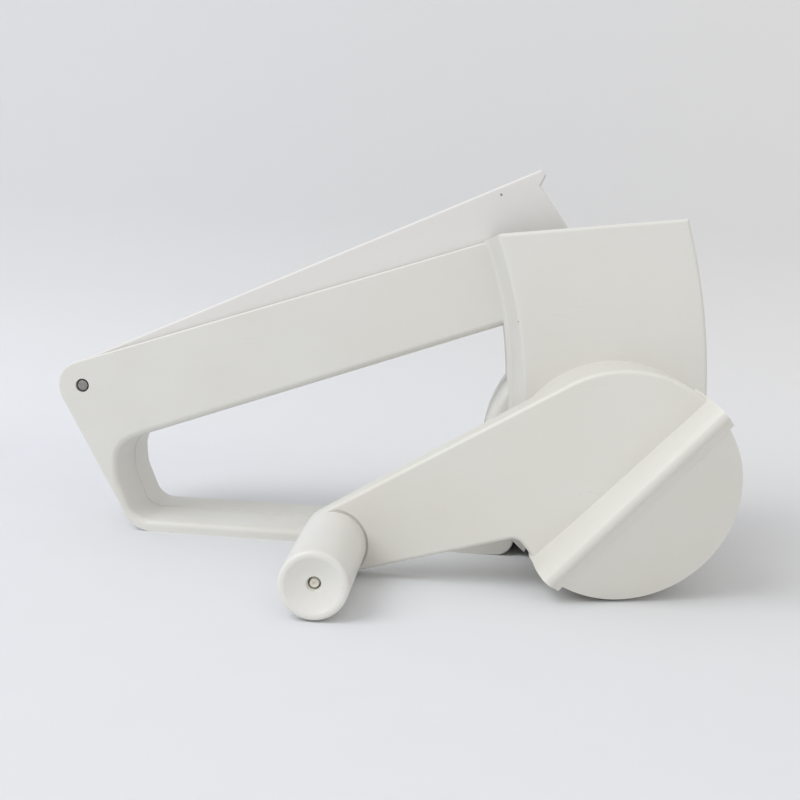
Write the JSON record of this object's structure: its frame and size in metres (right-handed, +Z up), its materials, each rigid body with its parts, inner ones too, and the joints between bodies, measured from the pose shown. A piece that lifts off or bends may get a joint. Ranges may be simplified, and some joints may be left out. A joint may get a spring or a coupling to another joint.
{
  "type": "rotary cheese grater",
  "caption": "Hand-held rotary cheese grater with a loop handle, hinged press lever, hopper, grating drum and side crank with a turning knob.",
  "frame": {"origin": "middle of the flat underside of the bottom bar, on the surface that the grater stands on", "axes": "+X along the handle towards the hopper, +Y away from the crank, +Z up"},
  "size_m": [0.1917, 0.1258, 0.1114],
  "materials": {
    "white_plastic": "glossy moulded white, slightly aged",
    "lever_plastic": "glossy moulded white",
    "crank_plastic": "glossy moulded white, slightly aged",
    "knob_plastic": "glossy moulded white",
    "drum_plastic": "satin moulded white",
    "ivory_plastic": "satin ivory",
    "steel_pin": "cut steel end",
    "stainless_sheet": "bright stainless sheet"
  },
  "bodies": {
    "frame": {"frame": "white_plastic", "hinge_pin": "steel_pin"},
    "lever": {"press_lever": "lever_plastic"},
    "crank": {"crank_arm": "crank_plastic", "knob_pin": "ivory_plastic"},
    "knob": {"crank_knob": "knob_plastic"},
    "drum": {"drum_screen": "stainless_sheet", "drum_hub": "drum_plastic", "drum_ring": "drum_plastic"}
  },
  "joints": [
    {"name": "lever_hinge", "type": "hinge", "parent": "frame", "child": "lever", "pos_m": [-0.0725, 0, 0.0426], "axis": [0, -1, 0], "range_deg": [0, 115]},
    {"name": "crank_turn", "type": "hinge", "parent": "frame", "child": "crank", "pos_m": [0.082, 0, 0.0302], "axis": [0, -1, 0], "continuous": true},
    {"name": "knob_turn", "type": "hinge", "parent": "crank", "child": "knob", "pos_m": [0.00716, 0, 0.00893], "axis": [0, -1, 0], "continuous": true},
    {"name": "drum_pull", "type": "slide", "parent": "crank", "child": "drum", "axis": [0, 1, 0], "range_m": [0, 0.08]}
  ]
}
